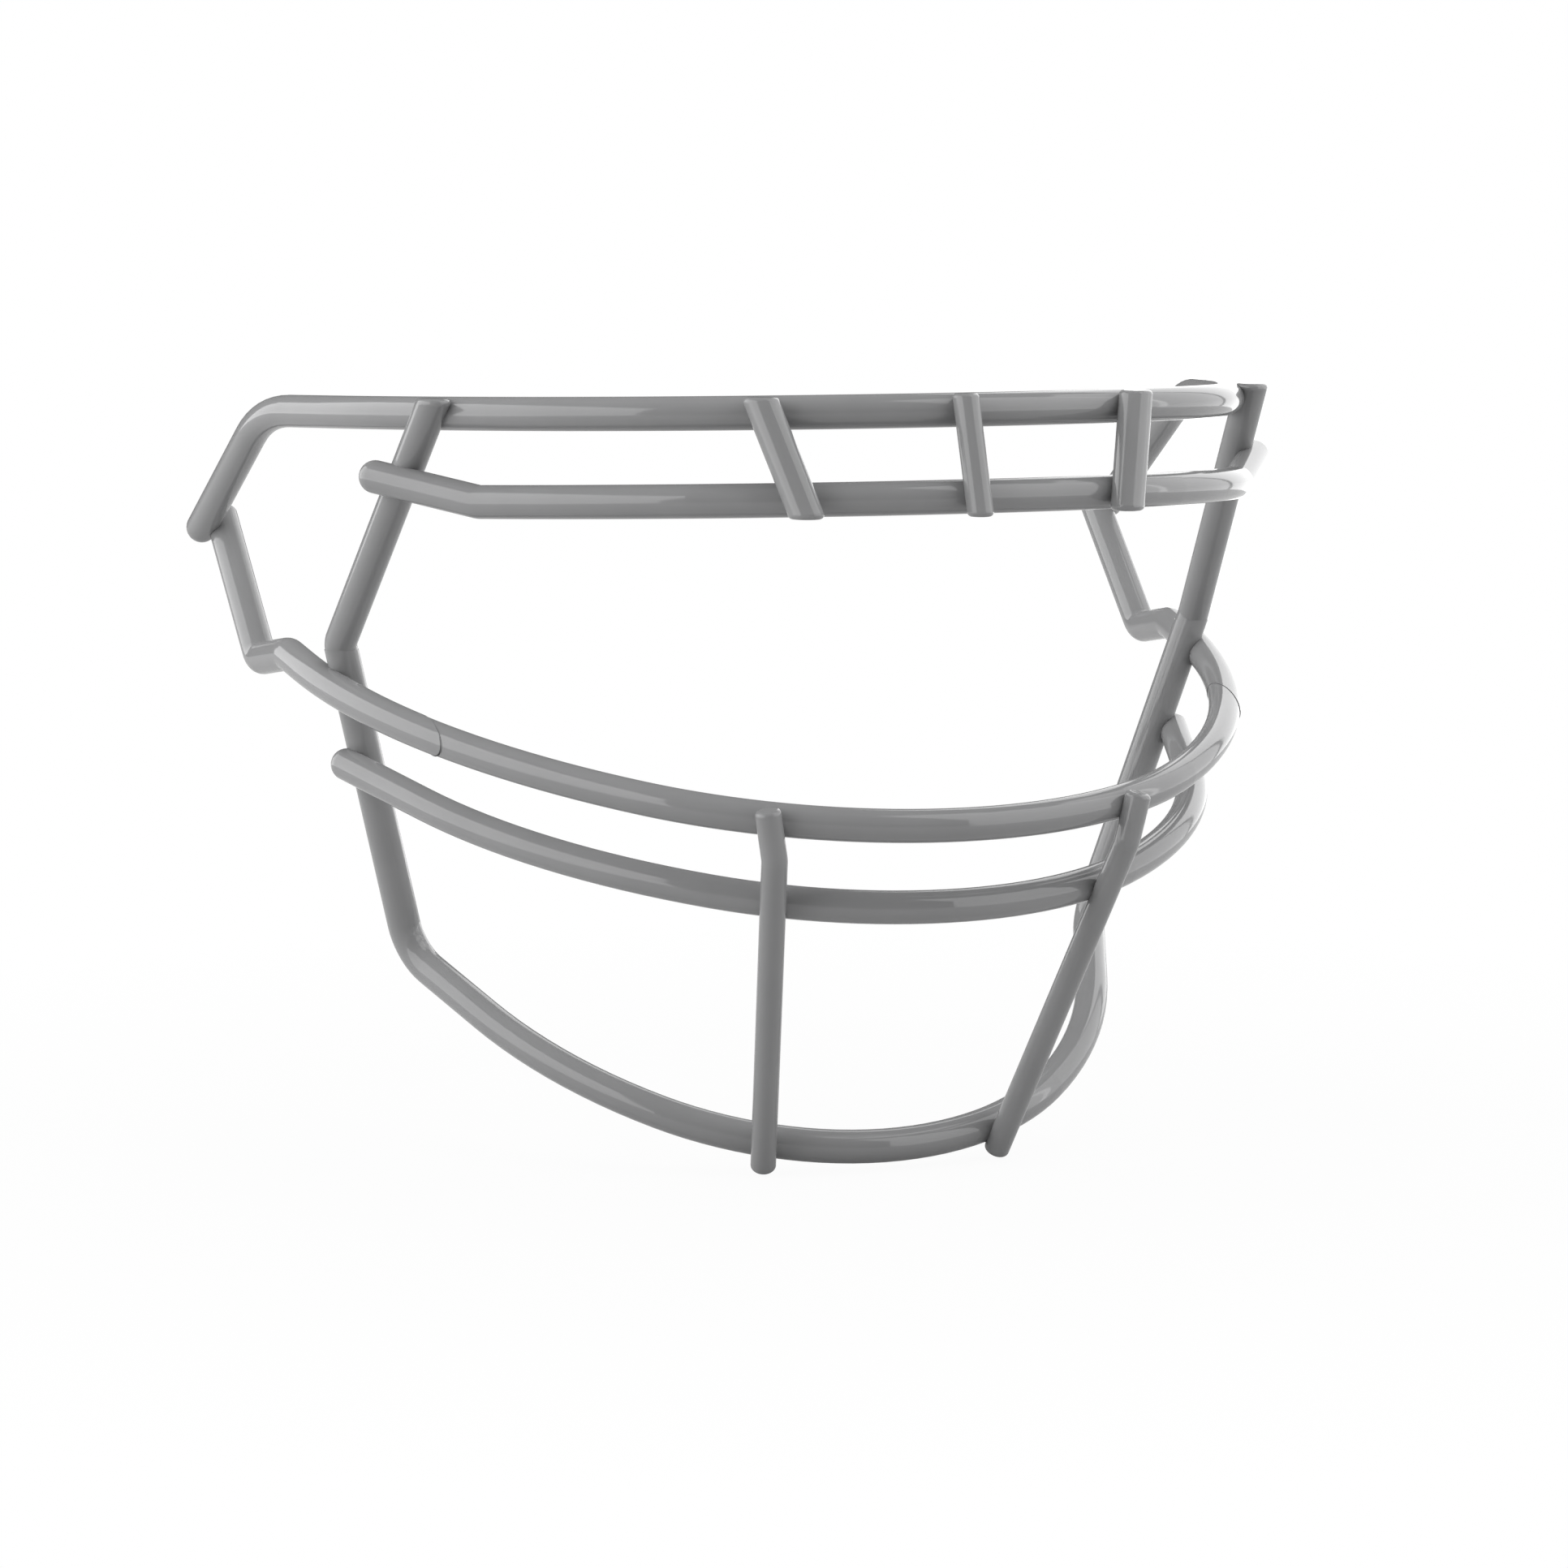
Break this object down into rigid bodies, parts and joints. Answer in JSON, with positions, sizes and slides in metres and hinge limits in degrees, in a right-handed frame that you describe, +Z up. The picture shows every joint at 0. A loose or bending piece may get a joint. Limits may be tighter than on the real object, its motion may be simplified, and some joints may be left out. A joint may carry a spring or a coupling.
{
  "type": "football helmet facemask",
  "caption": "Wire facemask for a football helmet: brow, mouth and chin bars of coated round wire, welded with uprights, posts and side loops.",
  "frame": {"origin": "middle of the brow bar's centre line, where the helmet's brow clips hold it", "axes": "+Z up, -Y the way the wearer looks, +X the wearer's left; X = 0 is the middle plane"},
  "size_m": [0.2342, 0.1938, 0.1689],
  "materials": {
    "coat": "semi-gloss grey polymer coat",
    "steel": "drawn wire"
  },
  "bodies": {
    "root": {"brow_bar_coat": "coat", "brow_bar_wire": "steel", "brow_post_left_coat": "coat", "brow_post_left_wire": "steel", "brow_post_right_coat": "coat", "brow_post_right_wire": "steel", "centre_brow_post_coat": "coat", "centre_brow_post_wire": "steel", "chin_bar_coat": "coat", "chin_bar_wire": "steel", "front_upright_left_coat": "coat", "front_upright_left_wire": "steel", "front_upright_right_coat": "coat", "front_upright_right_wire": "steel", "lower_brow_bar_coat": "coat", "lower_brow_bar_wire": "steel", "lower_mouth_bar_coat": "coat", "lower_mouth_bar_wire": "steel", "side_loop_left_coat": "coat", "side_loop_left_wire": "steel", "side_loop_right_coat": "coat", "side_loop_right_wire": "steel", "side_upright_left_coat": "coat", "side_upright_left_wire": "steel", "side_upright_right_coat": "coat", "side_upright_right_wire": "steel", "upper_mouth_bar_coat": "coat", "upper_mouth_bar_wire": "steel"}
  },
  "joints": []
}
